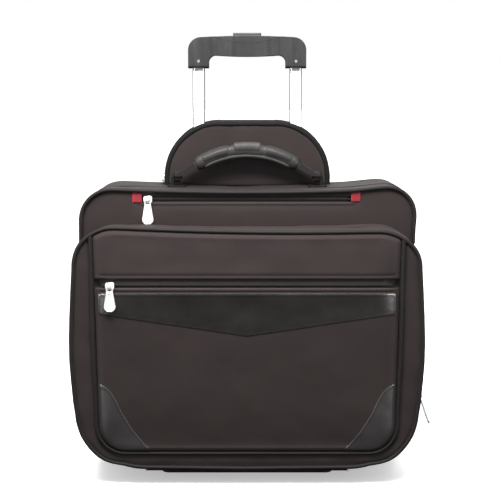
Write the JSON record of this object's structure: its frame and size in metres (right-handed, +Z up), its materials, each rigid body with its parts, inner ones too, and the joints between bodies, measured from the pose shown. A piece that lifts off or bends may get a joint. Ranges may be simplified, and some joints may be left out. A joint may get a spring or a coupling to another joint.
{
  "type": "rolling laptop case",
  "caption": "Soft-sided rolling laptop case with a pull handle that telescopes into a domed garage, a folding carry handle, an organizer lid and zipped pockets.",
  "frame": {"origin": "on the floor, at the centre of the width, under the seam between the main lid and the rear half; it lies on the skid's flat underside", "axes": "+X to the case's left-hand side seen from behind it (the viewer's right from the front), -Y out of the front, +Z up"},
  "size_m": [0.451, 0.2073, 0.562],
  "materials": {
    "shell_fabric": "woven nylon, matt",
    "board": "plain",
    "lining": "smooth lining",
    "skid_plastic": "fine moulded texture",
    "zip_tape": "ribbed coil",
    "piping": "satin binding",
    "faux_leather": "soft grain, satin",
    "red_tab": "plain",
    "zip_metal": "bright plated",
    "tube_aluminium": "satin anodised",
    "grip_plastic": "fine moulded texture",
    "button_plastic": "smooth",
    "screw_steel": "plain",
    "bearing_steel": "plain",
    "hub_plastic": "moulded",
    "tyre_rubber": "matt",
    "handle_rubber": "satin moulded",
    "strap_webbing": "dense webbing",
    "anchor_plastic": "moulded"
  },
  "bodies": {
    "case": {"back_panel": "shell_fabric", "divider_board": "board", "rear_gusset": "shell_fabric", "base_tray": "shell_fabric", "front_skid": "skid_plastic", "wheel_housings": "skid_plastic", "axles": "screw_steel", "outer_tubes": "tube_aluminium", "trolley_base": "skid_plastic", "guide_bezel": "skid_plastic", "garage_cover": "shell_fabric", "garage_zip_coil": "zip_tape", "garage_gusset": "shell_fabric", "garage_slider": "zip_metal", "laptop_sleeve": "lining", "main_zip_coil": "zip_tape", "handle_anchors": "anchor_plastic"},
    "trolley_middle": {"middle_tubes": "tube_aluminium", "middle_collars": "grip_plastic"},
    "trolley_upper": {"upper_tubes": "tube_aluminium", "tube_plugs": "grip_plastic", "grip_lower": "grip_plastic", "grip_upper": "grip_plastic", "grip_screws": "screw_steel", "button_spring": "screw_steel"},
    "release_button": {"push_button": "button_plastic", "push_rods": "screw_steel"},
    "wheel_left": {"tyre_left": "tyre_rubber", "hub_left": "hub_plastic", "bearings_left": "bearing_steel"},
    "wheel_right": {"tyre_right": "tyre_rubber", "hub_right": "hub_plastic", "bearings_right": "bearing_steel"},
    "carry_handle": {"handle_grip": "handle_rubber", "handle_straps": "strap_webbing"},
    "main_lid": {"main_panel": "shell_fabric", "top_zip_coil": "zip_tape", "main_lid_gusset": "shell_fabric", "main_piping": "piping", "zip_end_tabs": "red_tab", "organizer_gusset_rear": "shell_fabric", "organizer_zip_coil": "zip_tape", "organizer_low_slider": "zip_metal"},
    "organizer_lid": {"organizer_border": "shell_fabric", "outer_piping": "piping", "front_panel": "shell_fabric", "front_zip_coil": "zip_tape", "trim_band": "faux_leather", "corner_patches": "faux_leather", "inner_piping": "piping"},
    "top_slider": {"top_slider": "zip_metal"},
    "top_pull": {"top_pull": "zip_metal"},
    "front_slider": {"front_slider": "zip_metal"},
    "front_pull": {"front_pull": "zip_metal"},
    "organizer_high_slider": {"organizer_high_slider": "zip_metal"},
    "organizer_high_pull": {"organizer_high_pull": "zip_metal"},
    "organizer_low_pull": {"organizer_low_pull": "zip_metal"},
    "main_slider": {"main_slider": "zip_metal"},
    "main_pull": {"main_pull": "zip_metal"},
    "garage_pull": {"garage_pull": "zip_metal"}
  },
  "joints": [
    {"name": "trolley_middle_slide", "type": "slide", "parent": "case", "child": "trolley_middle", "axis": [0, 0, 1], "range_m": [0, 0.28]},
    {"name": "trolley_upper_slide", "type": "slide", "parent": "trolley_middle", "child": "trolley_upper", "axis": [0, 0, 1], "range_m": [-0.124, 0.165]},
    {"name": "release_button_press", "type": "slide", "parent": "trolley_upper", "child": "release_button", "axis": [0, 0, -1], "range_m": [0, 0.004], "stiffness_N_per_m": 1500, "springref_m": -0.003, "deforming": ["button_spring"]},
    {"name": "wheel_left_axle", "type": "hinge", "parent": "case", "child": "wheel_left", "pos_m": [-0.165, 0.07, 0.032], "axis": [1, 0, 0], "continuous": true},
    {"name": "wheel_right_axle", "type": "hinge", "parent": "case", "child": "wheel_right", "pos_m": [0.165, 0.07, 0.032], "axis": [1, 0, 0], "continuous": true},
    {"name": "carry_handle_tilt", "type": "hinge", "parent": "case", "child": "carry_handle", "pos_m": [0, 0.028, 0.375], "axis": [1, 0, 0], "range_deg": [0, 70]},
    {"name": "main_lid_fold", "type": "hinge", "parent": "case", "child": "main_lid", "pos_m": [0, -0.083, 0.0142], "axis": [1, 0, 0], "range_deg": [0, 36]},
    {"name": "organizer_lid_fold", "type": "hinge", "parent": "main_lid", "child": "organizer_lid", "pos_m": [0, -0.0836, 0.0143], "axis": [1, 0, 0], "range_deg": [0, 40]},
    {"name": "top_slider_travel", "type": "slide", "parent": "main_lid", "child": "top_slider", "axis": [1, 0, 0], "range_m": [0, 0.248]},
    {"name": "top_pull_swing", "type": "hinge", "parent": "top_slider", "child": "top_pull", "pos_m": [-0.124, -0.039, 0.3512], "axis": [-1, 0, 0], "range_deg": [0, 150]},
    {"name": "front_slider_travel", "type": "slide", "parent": "organizer_lid", "child": "front_slider", "axis": [1, 0, 0], "range_m": [0, 0.332]},
    {"name": "front_pull_swing", "type": "hinge", "parent": "front_slider", "child": "front_pull", "pos_m": [-0.166, -0.101, 0.251], "axis": [-1, 0, 0], "range_deg": [0, 150]},
    {"name": "organizer_slider_travel", "type": "slide", "parent": "main_lid", "child": "organizer_high_slider", "axis": [-0.0163, 0, 0.9999], "range_m": [0, 0.145]},
    {"name": "organizer_high_pull_swing", "type": "hinge", "parent": "organizer_high_slider", "child": "organizer_high_pull", "pos_m": [0.21627, -0.058, 0.121], "axis": [0, 0, -1], "range_deg": [0, 150]},
    {"name": "organizer_low_pull_swing", "type": "hinge", "parent": "main_lid", "child": "organizer_low_pull", "pos_m": [0.21652, -0.058, 0.1055], "axis": [0, -1, 0], "range_deg": [-19, 131]},
    {"name": "main_slider_travel", "type": "slide", "parent": "case", "child": "main_slider", "axis": [0.0084, 0, 1], "range_m": [0, 0.2]},
    {"name": "main_pull_swing", "type": "hinge", "parent": "main_slider", "child": "main_pull", "pos_m": [-0.2141, 0.004, 0.118], "axis": [0, 1, 0], "range_deg": [0, 150]},
    {"name": "garage_pull_swing", "type": "hinge", "parent": "case", "child": "garage_pull", "pos_m": [-0.1117, 0.0554, 0.372], "axis": [0, 0, 1], "range_deg": [0, 150]}
  ]
}
